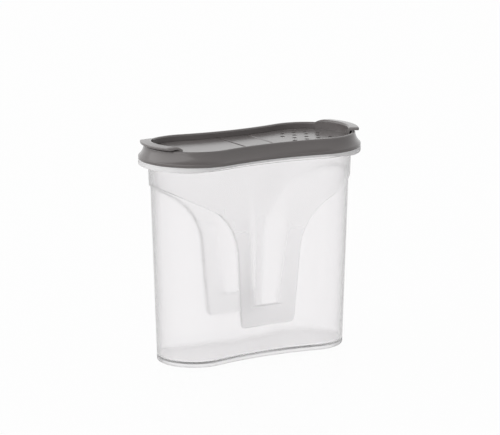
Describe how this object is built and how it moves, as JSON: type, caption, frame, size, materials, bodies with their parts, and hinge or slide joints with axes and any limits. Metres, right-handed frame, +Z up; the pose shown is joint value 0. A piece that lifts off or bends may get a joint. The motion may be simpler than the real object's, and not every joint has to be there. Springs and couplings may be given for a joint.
{
  "type": "spice jar with two-flap lid",
  "caption": "Waisted translucent jar with a press-on lid; one end flap opens to pour, the other opens over a sieve to shake.",
  "frame": {"origin": "under the middle of the base, on the surface that the jar stands on", "axes": "+X along the jar from the pour flap to the shaker flap, +Z up"},
  "size_m": [0.1312, 0.0598, 0.1221],
  "materials": {
    "clear_body": "translucent natural polypropylene, smooth",
    "grey_lid": "satin warm grey polypropylene",
    "grey_flap": "satin warm grey polypropylene"
  },
  "bodies": {
    "jar": {"jar_body": "clear_body"},
    "lid": {"lid_frame": "grey_lid"},
    "pour_flap_body": {"pour_flap": "grey_flap"},
    "shaker_flap_body": {"shaker_flap": "grey_flap"}
  },
  "joints": [
    {"name": "lid_lift", "type": "slide", "parent": "jar", "child": "lid", "axis": [0, 0, 1], "range_m": [0, 0.06]},
    {"name": "pour_flap_hinge", "type": "hinge", "parent": "lid", "child": "pour_flap_body", "pos_m": [-0.009, 0, 0.1154], "axis": [0, 1, 0], "range_deg": [0, 90]},
    {"name": "shaker_flap_hinge", "type": "hinge", "parent": "lid", "child": "shaker_flap_body", "pos_m": [0.011, 0, 0.1154], "axis": [0, -1, 0], "range_deg": [0, 90]}
  ]
}
